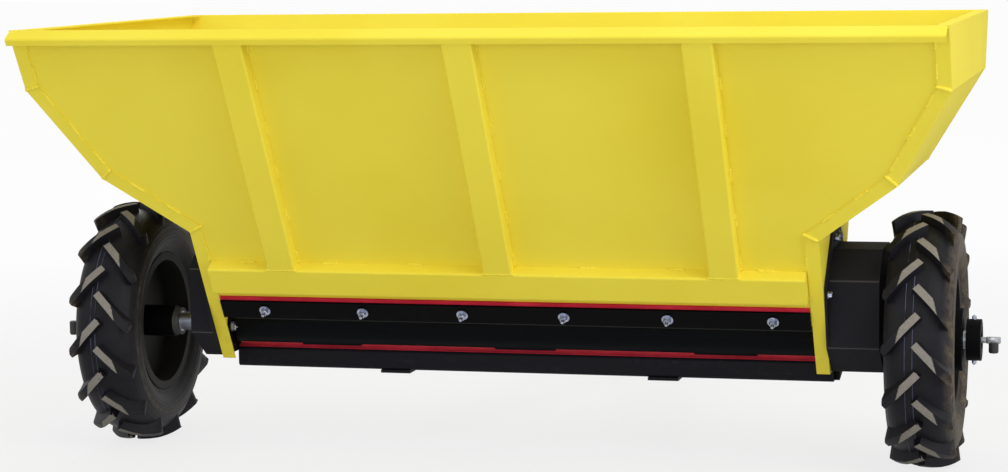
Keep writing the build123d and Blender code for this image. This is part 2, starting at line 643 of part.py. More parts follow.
keep(coupling, "ball_coupling")
lever_y = NECK_END + SLEEVE_END / 2
lever_z = NECK_Z + SLEEVE / 2
with BuildPart() as lever:
    with BuildSketch(ACROSS.offset(-LEVER_WIDE / 2)):
        with BuildLine():
            FilletPolyline((lever_y, lever_z), (lever_y, lever_z + LEVER_RISE),
                           (lever_y - LEVER_LONG, lever_z + LEVER_RISE),
                           (lever_y - LEVER_LONG - LEVER_RISE, lever_z + LEVER_RISE * 1.5), radius=2 * LEVER)
        trace(line_width=LEVER)
    extrude(amount=LEVER_WIDE)
keep(lever, "coupling_lever")

# prop stand: tube leg in a clamp on the neck
with BuildPart() as clamp:
    with Locations((STAND_X, AXLE_Y + STAND_Y, NECK_Z)):
        Box(2 * CLAMP_HALF, 2 * CLAMP_HALF, CLAMP_TALL)
        Box(-STAND_X - NECK / 2, TAB_WIDE, TAB_TALL, align=(Align.MIN, Align.CENTER, Align.CENTER))
    chamfer(clamp.edges().filter_by(Axis.Z).group_by(Axis.X)[0], CLAMP_EDGE)
    with BuildSketch(ACROSS.offset(STAND_X)):
        with Locations((STAND_Y, NECK_Z)):
            RegularPolygon(BOSS_R, 6)
    extrude(amount=-CLAMP_HALF - BOSS_LONG)
    with Locations((STAND_X, AXLE_Y + STAND_Y, NECK_Z)):
        Cylinder(LEG_R + CLAMP_GAP, CLAMP_TALL, mode=Mode.SUBTRACT)
    with BuildSketch(ACROSS.offset(STAND_X)):
        with Locations((STAND_Y, NECK_Z)):
            Circle(SCREW_R)
    extrude(amount=-CLAMP_HALF - BOSS_LONG, mode=Mode.SUBTRACT)
keep(clamp, "stand_clamp")
SCREW_TIP = STAND_X - LEG_R - CLAMP_GAP
with BuildPart() as screw:
    with BuildSketch(ACROSS.offset(SCREW_TIP)):
        with Locations((STAND_Y, NECK_Z)):
            Circle(SCREW_R)
    extrude(amount=-SCREW_LONG)
    with Locations((SCREW_TIP - SCREW_LONG, AXLE_Y + STAND_Y, NECK_Z)):
        Cylinder(HANDLE_R, HANDLE_LONG, rotation=(90, 0, 0))
keep(screw, "clamp_screw")
with BuildPart() as leg:
    with Locations((STAND_X, AXLE_Y + STAND_Y, 0)):
        Cylinder(PAD_R, PAD, align=(Align.CENTER, Align.CENTER, Align.MIN))
    with Locations((STAND_X, AXLE_Y + STAND_Y, PAD)):
        Cylinder(LEG_R, LEG_LONG - PAD, align=(Align.CENTER, Align.CENTER, Align.MIN))
        Cylinder(LEG_R - LEG_WALL, LEG_LONG - PAD - LEG_WALL, align=(Align.CENTER, Align.CENTER, Align.MIN),
                 mode=Mode.SUBTRACT)
keep(leg, "stand_leg")
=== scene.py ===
"""Looks of a towed sand spreader: finishes, tyres, welds, bolts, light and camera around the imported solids.

Metres, Z up, Y forward (towing direction), X to the right as seen from behind.
"""
import json
from math import cos, hypot, pi, radians, sin

import bmesh
import bpy
from mathutils import Matrix, Vector

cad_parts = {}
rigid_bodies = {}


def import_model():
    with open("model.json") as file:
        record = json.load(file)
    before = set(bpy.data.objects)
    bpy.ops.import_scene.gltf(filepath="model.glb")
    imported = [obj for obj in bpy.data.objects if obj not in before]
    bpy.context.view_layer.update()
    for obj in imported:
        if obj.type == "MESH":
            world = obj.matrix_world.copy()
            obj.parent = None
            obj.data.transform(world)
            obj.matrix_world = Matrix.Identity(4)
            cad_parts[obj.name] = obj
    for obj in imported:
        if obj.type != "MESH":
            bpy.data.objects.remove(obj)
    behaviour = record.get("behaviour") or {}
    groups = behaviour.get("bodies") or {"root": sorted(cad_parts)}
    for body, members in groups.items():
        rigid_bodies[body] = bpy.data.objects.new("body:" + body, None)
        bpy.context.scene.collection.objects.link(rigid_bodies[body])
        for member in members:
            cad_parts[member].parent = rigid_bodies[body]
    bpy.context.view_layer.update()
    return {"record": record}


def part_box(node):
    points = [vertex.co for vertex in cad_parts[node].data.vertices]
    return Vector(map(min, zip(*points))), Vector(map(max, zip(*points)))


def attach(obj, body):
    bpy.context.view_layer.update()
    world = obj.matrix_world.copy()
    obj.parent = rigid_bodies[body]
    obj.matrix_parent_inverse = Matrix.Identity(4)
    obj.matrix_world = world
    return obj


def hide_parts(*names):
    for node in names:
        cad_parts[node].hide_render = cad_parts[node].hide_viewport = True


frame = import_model()

# sizes repeated from the solids
SHEET = 0.003
FOOT_Z = 0.178
RIM_Z = 0.840
FOOT_HALF = 0.0605
RIM_HALF = 0.4645
LEG_HALF = 0.601
RIM_X = 0.851
SLANT = hypot(RIM_Z - FOOT_Z, RIM_HALF - FOOT_HALF)
C = (RIM_Z - FOOT_Z) / SLANT
S = (RIM_HALF - FOOT_HALF) / SLANT
END_RUN = [(RIM_X, RIM_Z), (RIM_X, 0.727), (0.749, 0.553), (LEG_HALF, 0.446), (LEG_HALF, FOOT_Z)]
END_FLANGE = 0.025
RIB_WIDTH = 0.056
RIB_DEEP = 0.027
BAR_TOP = 0.244
GATE_FACE = 0.009
GATE_MID = 0.1315
BOLTS = 6
BOLT_PITCH = 0.1981
BOLT_SHIFT = 0.010
TYRE_R = 0.240
LUGS = 14
LUG_PHASE = {"right": radians(14.6), "left": radians(12.86)}
COLLAR_OUT = 0.0865
COLLAR_R = 0.039
BOX_HALF = 0.119
BOX_FOLDS = (0.361, 0.236)
BEAM_R = 0.008
HEAD_BACK = 1.0395
HEAD_FRONT = 1.0505
HEAD_Z = 0.345
NECK_Z = 0.360
NECK_HALF = 0.0302
ARM_HEAD_X = 0.041
ARM_FOOT_X = 0.269
STAND_Y = 1.110
SLEEVE_HALF = 0.034
COUPLING_BOLTS = (1.155, 1.188)
LEVER_END = (1.101, 0.4265)
LEVER_TILT = radians(26.6)

# heights between which the soft sheets are painted black: painted shade behind the gates, seen through their
# slots
GATE_SHADE_LOW = 0.215
GATE_SHADE_TOP = 0.3050

shaft_low, shaft_high = (Vector(corner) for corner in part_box("axle_shaft"))
AXLE_Y = (shaft_low.y + shaft_high.y) / 2
AXLE_Z = (shaft_low.z + shaft_high.z) / 2
wall_low, wall_high = (Vector(corner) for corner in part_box("hopper_wall_rear"))
MID_X = (wall_low.x + wall_high.x) / 2
pin_low, pin_high = (Vector(corner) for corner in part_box("lock_pins"))
SIDES = (("right", 1), ("left", -1))
WHEEL_X = {}
for side, _ in SIDES:
    tyre_low, tyre_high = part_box(f"tyre_{side}")
    WHEEL_X[side] = (tyre_low[0] + tyre_high[0]) / 2


class Wire:
    """A socket of a node tree; arithmetic on it adds Math nodes."""

    def __init__(self, tree, socket=None):
        self.tree = tree
        self.socket = socket

    def node(self, kind, settings, sockets, out=0):
        """Add a node: settings first, then values or links of its sockets; gives one of its outputs."""
        made = self.tree.nodes.new(kind)
        for name, value in settings.items():
            setattr(made, name, value)
        for name, value in sockets.items():
            if isinstance(value, Wire):
                self.tree.links.new(value.socket, made.inputs[name])
            else:
                made.inputs[name].default_value = value
        return Wire(self.tree, made.outputs[out]) if made.outputs else None

    def math(self, operation, a, b):
        return self.node("ShaderNodeMath", {"operation": operation}, {0: a, 1: b})

    def __add__(self, other):
        return self.math("ADD", self, other)

    def __radd__(self, other):
        return self.math("ADD", other, self)

    def __sub__(self, other):
        return self.math("SUBTRACT", self, other)

    def __rsub__(self, other):
        return self.math("SUBTRACT", other, self)

    def __mul__(self, other):
        return self.math("MULTIPLY", self, other)

    def __rmul__(self, other):
        return self.math("MULTIPLY", other, self)

    def __pow__(self, other):
        return self.math("POWER", self, other)

    def noise(self, scale, detail=3.0, rough=0.55):
        """Noise between 0 and 1 at this place."""
        return self.node("ShaderNodeTexNoise", {}, {
            "Vector": self, "Scale": scale, "Detail": detail, "Roughness": rough})

    def between(self, low, high):
        """0 below low, 1 above high, smooth in between."""
        return self.node("ShaderNodeMapRange", {"interpolation_type": "SMOOTHSTEP"}, {
            "Value": self, "From Min": low, "From Max": high})

    def band(self, low, high, soft):
        """1 from low to high, fading to 0 over soft on either side."""
        return self.between(low - soft, low) * (1 - self.between(high, high + soft))

    def mix(self, a, b):
        """Colour a where this is 0, colour b where it is 1."""
        return self.node("ShaderNodeMix", {"data_type": "RGBA"}, {0: self, 6: a, 7: b}, 2)

    def stretched(self, x, y, z):
        """This place with each axis scaled, for streaks."""
        return self.node("ShaderNodeMapping", {}, {"Vector": self, "Scale": (x, y, z)})

    def axis(self, name):
        return self.node("ShaderNodeSeparateXYZ", {}, {0: self}, name)

    def bump(self, distance, strength=1.0, under=None):
        """Normal that this height gives."""
        sockets = {"Height": self, "Distance": distance, "Strength": strength}
        if under is not None:
            sockets["Normal"] = under
        return self.node("ShaderNodeBump", {}, sockets)


def new_finish(name):
    """An empty material, and the wire that reads the place on the object."""
    material = bpy.data.materials.new(name)
    material.use_nodes = True
    material.node_tree.nodes.clear()
    return material, Wire(material.node_tree).node("ShaderNodeTexCoord", {}, {}, "Object")


def shade(place, **sockets):
    """Close a material with one Principled shader; underscores in names stand for spaces."""
    named = {name.replace("_", " "): value for name, value in sockets.items()}
    shader = place.node("ShaderNodeBsdfPrincipled", {}, named)
    place.node("ShaderNodeOutputMaterial", {}, {"Surface": shader})


def colour(red, green, blue):
    """Linear colour from 0-255 screen values."""
    channels = []
    for value in (red, green, blue):
        share = value / 255
        channels.append(share / 12.92 if share <= 0.04045 else ((share + 0.055) / 1.055) ** 2.4)
    return (*channels, 1.0)


def background_rays(wire):
    """1 on the rays that show the background: the camera's, and those off gloss and through glass."""
    camera, gloss, glass = (wire.node("ShaderNodeLightPath", {}, {}, f"Is {kind} Ray")
                            for kind in ("Camera", "Glossy", "Transmission"))
    return camera.math("MAXIMUM", camera.math("MAXIMUM", camera, gloss), glass)


def yellow_paint():
    """Gloss paint on sheet: faint orange peel, slow change of shade, dust low down."""
    material, place = new_finish("yellow_paint_on_sheet")
    cloud = place.noise(2.3, 3.0)
    fine = place.noise(46.0, 4.0)
    height = place.axis("Z")
    dust = (1 - height.between(0.17, 0.30)) * fine.between(0.5, 0.8) * 0.22
    clean = cloud.between(0.3, 0.7).mix(colour(238, 219, 66), colour(243, 226, 78))
    tone = dust.mix(clean, colour(176, 150, 74))
    specks = place.noise(310.0, 1.0).between(0.74, 0.8) * 0.1
    base = specks.mix(tone, colour(150, 132, 40))
    wavy = place.noise(7.0, 2.0).bump(0.004, 0.12)
    peel = place.noise(520.0, 2.0).bump(0.00012, 0.35, wavy)
    shade(place, Base_Color=base, Roughness=0.34 + cloud * 0.08 + dust * 0.6, Normal=peel, Coat_Weight=0.08,
          Coat_Roughness=0.2, Specular_IOR_Level=0.0)
    return material


def painted_fold_highlights(place):
    """1 along the folds of the side boxes' covers, on their outside, where painted highlights go."""
    back = place.axis("Y") - AXLE_Y
    at_face = ((back * back) ** 0.5).band(BOX_HALF - 0.0016, BOX_HALF + 0.0005, 0.0010)
    height = place.axis("Z")
    upper, lower = (height.band(fold - 0.0010, fold + 0.0010, 0.0012) for fold in BOX_FOLDS)
    return at_face * (upper + lower)


def black_paint(name, dark, shine, fold_highlights=False):
    """Satin black paint with fine texture and a little dust, with painted highlights along folds."""
    material, place = new_finish(name)
    cloud = place.noise(9.0, 4.0)
    fine = place.noise(70.0, 4.0)
    dust = cloud.between(0.5, 0.85) * fine.between(0.4, 0.7) * 0.22
    base = dust.mix(dark, colour(44, 43, 41))
    if fold_highlights:
        # painted highlight: paler lines along the folds of the boxes' covers
        base = (painted_fold_highlights(place) * 0.8).mix(base, colour(74, 72, 74))
    rough = 0.56 + cloud * 0.12 + dust * 0.2
    shade(place, Base_Color=base, Roughness=rough, Normal=place.noise(420.0, 2.0).bump(0.0002, 0.4),
          Specular_IOR_Level=shine)
    return material


def beam_paint():
    """Duller black of the tube frame, with scuffs along its length."""
    material, place = new_finish("black_paint_on_tube")
    streaks = place.stretched(6.0, 60.0, 60.0).noise(1.0, 4.0)
    fine = place.noise(90.0, 3.0)
    dust = streaks.between(0.5, 0.75) * fine.between(0.35, 0.7) * 0.25
    base = dust.mix(colour(22, 22, 28), colour(56, 55, 62))
    shade(place, Base_Color=base, Roughness=0.5 + streaks * 0.15, Normal=fine.bump(0.0002, 0.4),
          Specular_IOR_Level=0.10)
    return material


def red_sheet():
    """Dark red soft sheet, matt and slightly scuffed, painted near-black behind the gates as painted shade.
    """
    material, place = new_finish("red_soft_sheet")
    cloud = place.noise(14.0, 4.0)
    fine = place.noise(160.0, 3.0)
    base = cloud.between(0.35, 0.7).mix(colour(196, 34, 58), colour(220, 50, 74))
    grey = fine.between(0.6, 0.8) * 0.2
    height = place.axis("Z")
    above = height.between(GATE_SHADE_LOW, GATE_SHADE_LOW + 0.004)
    # painted shade: near-black band where the sheet lies behind the gates and shows through their slots
    painted_gate_shade = above * (1 - height.between(GATE_SHADE_TOP - 0.002, GATE_SHADE_TOP))
    worn = grey.mix(base, colour(130, 84, 82))
    shade(place, Base_Color=painted_gate_shade.mix(worn, colour(14, 13, 13)), Roughness=0.62 + cloud * 0.15,
          Normal=fine.bump(0.0003, 0.5), Specular_IOR_Level=0.2)
    return material


def turned_steel():
    """Bright turned bar: fine rings round it, small dull spots."""
    material, place = new_finish("bright_turned_steel")
    rings = place.stretched(900.0, 6.0, 6.0).noise(1.0, 3.0)
    cloud = place.noise(30.0, 4.0)
    stain = cloud.between(0.55, 0.8) * 0.5
    base = stain.mix(colour(178, 183, 196), colour(124, 122, 121))
    shade(place, Base_Color=base, Metallic=1.0, Roughness=0.3 + rings * 0.12 + stain * 0.2,
          Normal=rings.bump(0.00006, 0.5))
    return material


def sealed_bearing():
    """Steel bearing ring: bright at its bore and rim, a dark seal in between."""
    material, place = new_finish("sealed_bearing")
    up = place.axis("Z") - AXLE_Z
    back = place.axis("Y") - AXLE_Y
    away = (up * up + back * back) ** 0.5
    bore = away.between(0.0172, 0.0176) * (1 - away.between(0.0198, 0.0204))
    rim = away.between(0.0268, 0.0274) * (1 - away.between(0.0290, 0.0296))
    seal = 1 - bore - rim
    grime = place.noise(120.0, 3.0)
    base = seal.mix(colour(150, 148, 144), grime.mix(colour(12, 12, 12), colour(28, 26, 24)))
    shade(place, Base_Color=base, Metallic=0.85 * (1 - seal), Roughness=0.3 + seal * 0.3,
          Normal=grime.bump(0.0001, 0.3))
    return material


def zinc_plate(name, dull, bright, spangle_scale):
    """Zinc plating: soft cloudy spangle."""
    material, place = new_finish(name)
    spangle = place.node("ShaderNodeTexVoronoi", {}, {"Vector": place, "Scale": spangle_scale}, "Color")
    tone = spangle.axis("X")
    cloud = place.noise(24.0, 4.0)
    base = tone.mix(dull, bright)
    shade(place, Base_Color=base, Metallic=1.0, Roughness=0.24 + tone * 0.05 + cloud * 0.12,
          Normal=place.noise(300.0, 2.0).bump(0.0001, 0.3))
    return material


def tyre_rubber():
    """Bluish black rubber: lug tops worn grey on their inner half, brown dust on the outer wall, painted
    bluish highlights on the mould lines.
    """
    material, place = new_finish("tyre_rubber")
    worn = place.node("ShaderNodeAttribute", {"attribute_name": "worn"}, {}, "Fac")
    dusty = place.node("ShaderNodeAttribute", {"attribute_name": "dusty"}, {}, "Fac")
    fine = place.noise(260.0, 3.0)
    cloud = place.noise(22.0, 4.0)
    blotch = place.noise(60.0, 4.0, 0.7)
    scuffed = (worn + fine * 0.06).between(0.03, 0.07)
    mould_line_highlight = place.node("ShaderNodeAttribute", {"attribute_name": "mould_line_highlight"}, {}, "Fac")
    film = dusty * (0.22 + blotch.between(0.4, 0.64) * 0.7)
    dots = place.node("ShaderNodeTexVoronoi", {}, {"Vector": place, "Scale": 95.0}, "Distance")
    pits = (1 - dots.between(0.05, 0.09)) * scuffed
    bare = cloud.mix(colour(17, 17, 21), colour(33, 32, 38))
    # painted highlight: bluish pale colour along the tops of the mould lines
    black = (mould_line_highlight * cloud.between(0.3, 0.6)).mix(bare, colour(92, 94, 122))
    grey = fine.mix(colour(112, 108, 103), colour(152, 147, 140))
    tread = pits.mix(scuffed.mix(black, grey), colour(40, 38, 36))
    base = film.mix(tread, blotch.mix(colour(76, 68, 57), colour(134, 120, 98)))
    rough = 0.42 + fine * 0.12 + scuffed * 0.3 + film * 0.35
    grain = place.noise(420.0, 3.0).bump(0.0003, 0.35)
    shade(place, Base_Color=base, Roughness=rough, Normal=grain, Specular_IOR_Level=0.12)
    return material


def rubber_grip():
    """Black moulded rubber of small grips."""
    material, place = new_finish("moulded_grip")
    fine = place.noise(300.0, 3.0)
    base = place.noise(60.0, 3.0).mix(colour(24, 24, 25), colour(46, 45, 44))
    shade(place, Base_Color=base, Roughness=0.55 + fine * 0.15, Normal=fine.bump(0.0003, 0.4))
    return material


YELLOW = yellow_paint()
BLACK = black_paint("black_paint_on_steel", colour(7, 7, 9), 0.05)
ROLLER = black_paint("black_paint_on_roller", colour(10, 12, 15), 0.05)
RIM = black_paint("black_paint_on_rims", colour(30, 29, 27), 0.14)
BOX = black_paint("black_paint_on_boxes", colour(36, 36, 41), 0.03, fold_highlights=True)
TUBE = beam_paint()
RED = red_sheet()
STEEL = turned_steel()
ZINC = zinc_plate("zinc_plating", colour(136, 138, 142), colour(164, 166, 169), 190.0)
BRIGHT = zinc_plate("bright_zinc", colour(140, 146, 164), colour(178, 183, 200), 260.0)
SEALED = sealed_bearing()
RUBBER = tyre_rubber()
GRIP = rubber_grip()

BY_SLOT = {
    "yellow_paint": YELLOW, "black_paint": BLACK, "red_sheet": RED,
    "bare_steel": STEEL, "zinc": ZINC, "tyre": RUBBER}
BY_NODE = {
    "frame_beam": TUBE, "foot_plate_right": TUBE, "foot_plate_left": TUBE, "drawbar_arm_right": TUBE,
    "drawbar_arm_left": TUBE, "drawbar_head": TUBE, "side_box_right": BOX, "side_box_left": BOX,
    "feed_roller": ROLLER, "wheel_rim_right": RIM, "wheel_rim_left": RIM,
    "hub_bearing_right": SEALED, "hub_bearing_left": SEALED}
for subpart in frame["record"]["subparts"]:
    node = bpy.data.objects[subpart["node"]]
    for slot in node.material_slots:
        slot.material = BY_NODE.get(subpart["node"], BY_SLOT[subpart["material_slot"]])


def add_piece(name, mesh, material, body):
    """Put a mesh on a body of the frame, with the material it takes its look from."""
    mesh.materials.clear()
    mesh.materials.append(material)
    piece = bpy.data.objects.new(name, mesh)
    bpy.context.scene.collection.objects.link(piece)
    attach(piece, body)
    return piece


def smooth(mesh, degrees_sharp=32):
    """Smooth shading, broken at edges sharper than an angle."""
    mesh.shade_smooth()
    mesh.set_sharp_from_angle(angle=radians(degrees_sharp))


def on_slope(n, s, side):
    """Y and Z of a point n out of a long wall and s up its slope; side -1 is the rear wall, 1 the front."""
    return (AXLE_Y + side * (FOOT_HALF + C * n + S * s), FOOT_Z - S * n + C * s)


# node trees for what repeats: they work on points or paths, and end as plain meshes
class Tree:
    """A Geometry Nodes tree in the making."""

    def __init__(self, name, sizes):
        self.group = bpy.data.node_groups.new(name, "GeometryNodeTree")
        self.group.interface.new_socket("Geometry", in_out="INPUT", socket_type="NodeSocketGeometry")
        self.sizes = {}
        for size, kind in sizes.items():
            item = self.group.interface.new_socket(size, in_out="INPUT", socket_type=kind)
            self.sizes[size] = item.identifier
        self.group.interface.new_socket("Geometry", in_out="OUTPUT", socket_type="NodeSocketGeometry")
        self.wire = Wire(self.group)
        self.inside = self.group.nodes.new("NodeGroupInput")

    def given(self, name):
        return Wire(self.group, self.inside.outputs[name])

    def node(self, kind, settings, sockets, out=0):
        return self.wire.node(kind, settings, sockets, out)

    def close(self, shape):
        """Realize, give the material and end the tree."""
        real = self.node("GeometryNodeRealizeInstances", {}, {0: shape})
        done = self.node("GeometryNodeSetMaterial", {}, {
            "Geometry": real, "Material": self.given("Material")})
        end = self.group.nodes.new("NodeGroupOutput")
        self.group.links.new(done.socket, end.inputs[0])

    def grow(self, name, mesh, values):
        """Run the tree on a mesh and give the result as a plain mesh."""
        source = bpy.data.objects.new(name + "_source", mesh)
        bpy.context.scene.collection.objects.link(source)
        modifier = source.modifiers.new("grow", "NODES")
        modifier.node_group = self.group
        for size, value in values.items():
            modifier[self.sizes[size]] = value
        seen = source.evaluated_get(bpy.context.evaluated_depsgraph_get())
        grown = bpy.data.meshes.new_from_object(seen)
        source.modifiers.remove(modifier)
        bpy.data.objects.remove(source)
        grown.name = name
        return grown


HEX_CORNER = 0.577


def fastener_tree():
    """Hexagon head on a washer, with the shank's end standing out, at each point along its own way."""
    tree = Tree("fasteners", {
        "Across": "NodeSocketFloat", "Head": "NodeSocketFloat", "Washer": "NodeSocketFloat",
        "Washer Height": "NodeSocketFloat", "Shank": "NodeSocketFloat", "Shank Out": "NodeSocketFloat",
        "Material": "NodeSocketMaterial"})
    across = tree.given("Across")
    head = tree.given("Head")
    lift = tree.given("Washer Height")
    shank = tree.given("Shank")
    corner = across * HEX_CORNER
    washer = tree.node("GeometryNodeMeshCylinder", {}, {
        "Vertices": 24, "Radius": tree.given("Washer"), "Depth": lift})
    body = tree.node("GeometryNodeMeshCylinder", {}, {"Vertices": 6, "Radius": corner, "Depth": head * 0.8})
    crown = tree.node("GeometryNodeMeshCone", {}, {
        "Vertices": 6, "Radius Bottom": corner, "Radius Top": across * 0.5, "Depth": head * 0.2})
    rod = tree.node("GeometryNodeMeshCone", {}, {
        "Vertices": 16, "Radius Bottom": shank, "Radius Top": shank * 0.82,
        "Depth": tree.given("Shank Out")})
    join = tree.group.nodes.new("GeometryNodeJoinGeometry")
    for shape, height in ((washer, lift * 0.5), (body, lift + head * 0.4),
                          (crown, lift + head * 0.8), (rod, lift + head)):
        up = tree.node("ShaderNodeCombineXYZ", {}, {"Z": height})
        raised = tree.node("GeometryNodeTransform", {}, {"Geometry": shape, "Translation": up})
        tree.group.links.new(raised.socket, join.inputs[0])
    way = tree.node("GeometryNodeInputNamedAttribute", {"data_type": "FLOAT_VECTOR"}, {"Name": "way"})
    turn = tree.node("FunctionNodeAlignEulerToVector", {"axis": "Z"}, {"Vector": way})
    spots = tree.node("GeometryNodeMeshToPoints", {}, {"Mesh": tree.given("Geometry")})
    tree.close(tree.node("GeometryNodeInstanceOnPoints", {}, {
        "Points": spots, "Instance": Wire(tree.group, join.outputs[0]), "Rotation": turn}))
    return tree


def bead_tree():
    """Weld bead: small overlapping drops along each run, uneven by a fixed seed."""
    tree = Tree("weld_beads", {
        "Pitch": "NodeSocketFloat", "Radius": "NodeSocketFloat", "Material": "NodeSocketMaterial"})
    line = tree.node("GeometryNodeMeshToCurve", {}, {"Mesh": tree.given("Geometry")})
    spread = tree.node("GeometryNodeResampleCurve", {"mode": "LENGTH"}, {
        "Curve": line, "Length": tree.given("Pitch")})
    drop = tree.node("GeometryNodeMeshIcoSphere", {}, {"Radius": tree.given("Radius"), "Subdivisions": 2})
    rounded = tree.node("GeometryNodeSetShadeSmooth", {}, {"Geometry": drop})
    size = tree.node("FunctionNodeRandomValue", {"data_type": "FLOAT"}, {2: 0.82, 3: 1.12, "Seed": 7}, 1)
    tree.close(tree.node("GeometryNodeInstanceOnPoints", {}, {
        "Points": spread, "Instance": rounded, "Scale": size}))
    return tree


def round_tree():
    """Copies of one lug round the wheel's own axis, at an even pitch."""
    tree = Tree("lugs_round_a_wheel", {
        "Count": "NodeSocketInt", "First Turn": "NodeSocketFloat", "Material": "NodeSocketMaterial"})
    spots = tree.node("GeometryNodePoints", {}, {"Count": tree.given("Count")})
    index = tree.node("GeometryNodeInputIndex", {}, {})
    step = tree.node("ShaderNodeMath", {"operation": "DIVIDE"}, {0: 2 * pi, 1: tree.given("Count")})
    angle = tree.given("First Turn") + index * step
    turn = tree.node("ShaderNodeCombineXYZ", {}, {"X": angle})
    tree.close(tree.node("GeometryNodeInstanceOnPoints", {}, {
        "Points": spots, "Instance": tree.given("Geometry"), "Rotation": turn}))
    return tree


FASTENERS = fastener_tree()
BEADS = bead_tree()
ROUND = round_tree()


def points_mesh(name, table):
    """Loose points, each with the way its fastener looks."""
    mesh = bpy.data.meshes.new(name)
    mesh.from_pydata([place for place, _ in table], [], [])
    ways = mesh.attributes.new("way", "FLOAT_VECTOR", "POINT")
    for i, (_, way) in enumerate(table):
        ways.data[i].vector = way
    return mesh


def paths_mesh(name, paths):
    """Open runs of points, each joined by edges."""
    mesh = bpy.data.meshes.new(name)
    points = []
    edges = []
    for path in paths:
        edges += [(len(points) + i, len(points) + i + 1) for i in range(len(path) - 1)]
        points += path
    mesh.from_pydata(points, edges, [])
    return mesh


# fasteners: width across the flats, height of the head, radius of the washer, shank's end standing out
GATE_NUT = (0.0128, 0.0085, 0.0110, 0.007)
BOX_BOLT = (0.011, 0.006, 0.0078, 0.0)
BEARING_BOLT = (0.015, 0.007, 0.0105, 0.005)
WHEEL_BOLT = (0.017, 0.009, 0.012, 0.004)
COLLAR_SCREW = (0.0075, 0.0045, 0.0045, 0.002)
COUPLING_BOLT = (0.017, 0.009, 0.0125, 0.004)
WASHER_HEIGHT = 0.0022
SHANK_SHARE = 0.29
BEAD_STEP = 0.75


def fasteners(name, table, body, sizes):
    """Bright fasteners of one size at a table of places and ways."""
    across, head, washer, shank_out = sizes
    mesh = FASTENERS.grow(name, points_mesh(name + "_points", table), {
        "Across": across, "Head": head, "Washer": washer, "Washer Height": WASHER_HEIGHT,
        "Shank": across * SHANK_SHARE, "Shank Out": shank_out, "Material": BRIGHT})
    smooth(mesh)
    add_piece(name, mesh, BRIGHT, body)


def beads(name, paths, body, radius, material):
    """Weld beads along open runs of points."""
    mesh = BEADS.grow(name, paths_mesh(name + "_paths", paths), {
        "Pitch": radius * BEAD_STEP, "Radius": radius, "Material": material})
    add_piece(name, mesh, material, body)


def revolve(profile, sides, closed):
    """Mesh round the X axis from a run of (x, radius); the run's left side faces in."""
    mesh = bpy.data.meshes.new("revolved")
    shape = bmesh.new()
    rings = []
    for i in range(sides):
        turn = 2 * pi * i / sides
        rings.append([shape.verts.new((x, r * cos(turn), r * sin(turn))) for x, r in profile])
    last = len(profile) if closed else len(profile) - 1
    for i in range(sides):
        here = rings[i]
        there = rings[(i + 1) % sides]
        for k in range(last):
            n = (k + 1) % len(profile)
            shape.faces.new((here[k], here[n], there[n], there[k]))
    bmesh.ops.recalc_face_normals(shape, faces=shape.faces)
    shape.to_mesh(mesh)
    shape.free()
    return mesh


# tyres: round carcass with mould lines, and lugs that follow the crown; the wheel's outer side is +x
CROWN = ((0.0000, 0.2240), (0.0100, 0.2238), (0.0200, 0.2230), (0.0300, 0.2211), (0.0400, 0.2178),
         (0.0480, 0.2128), (0.0545, 0.2060), (0.0590, 0.1975), (0.0618, 0.1880), (0.0632, 0.1790),
         (0.0630, 0.1700), (0.0612, 0.1610), (0.0600, 0.1595), (0.0596, 0.1570), (0.0560, 0.1500),
         (0.0520, 0.1450), (0.0500, 0.1420), (0.0495, 0.1395), (0.0462, 0.1385), (0.0462, 0.1280))
SHOULDER = CROWN[:11]
PROFILE_STEP = 0.0024
TREAD_FROM_R = 0.2
WALL_FROM_X = 0.055
WALL_RINGS = (0.1660, 0.1730, 0.1905)
MOULD_LINES = {"right": (-0.0210, -0.0070), "left": (0.0085, 0.0180)}
LINE_HALF = 0.0009
RING_HALF = 0.0013
RING_HIGH = 0.0007
INNER_BROWN_RING = 0.1840
AROUND = 168
LUG_RUN = ((-0.003, 0.032), (0.028, 0.000), (0.063, -0.040))
LUG_WIDE = 0.016
LUG_TOP = ((-0.012, 0.2400), (0.014, 0.2400), (0.030, 0.2388), (0.044, 0.2352), (0.054, 0.2312),
           (0.063, 0.2264))
LUG_STEPS = 18
LUG_BEND = 0.35
# across a lug: shares of its half width, and how far they lie under its top; None is sunk in the carcass
LUG_SECTION = ((-1.34, None), (-1.06, 0.0030), (-0.98, 0.0006), (-0.88, 0.0), (0.0, 0.0), (0.88, 0.0),
               (0.98, 0.0006), (1.06, 0.0030), (1.34, None))
LUG_SINK = 0.004
LUG_WALL_X = 0.0585
LUG_WALL_R = 0.1900
WORN_END = 0.55
WORN_SKEW = 0.16


def ramp(value, start, length):
    """0 up to start, 1 from start + length on, straight in between."""
    return min(1.0, max(0.0, (value - start) / length))


def along(table, x):
    """Value of a table of (x, value) at x, in straight steps."""
    for (ax, av), (bx, bv) in zip(table, table[1:]):
        if x <= bx:
            return av + (bv - av) * max(0.0, (x - ax) / (bx - ax))
    return table[-1][1]


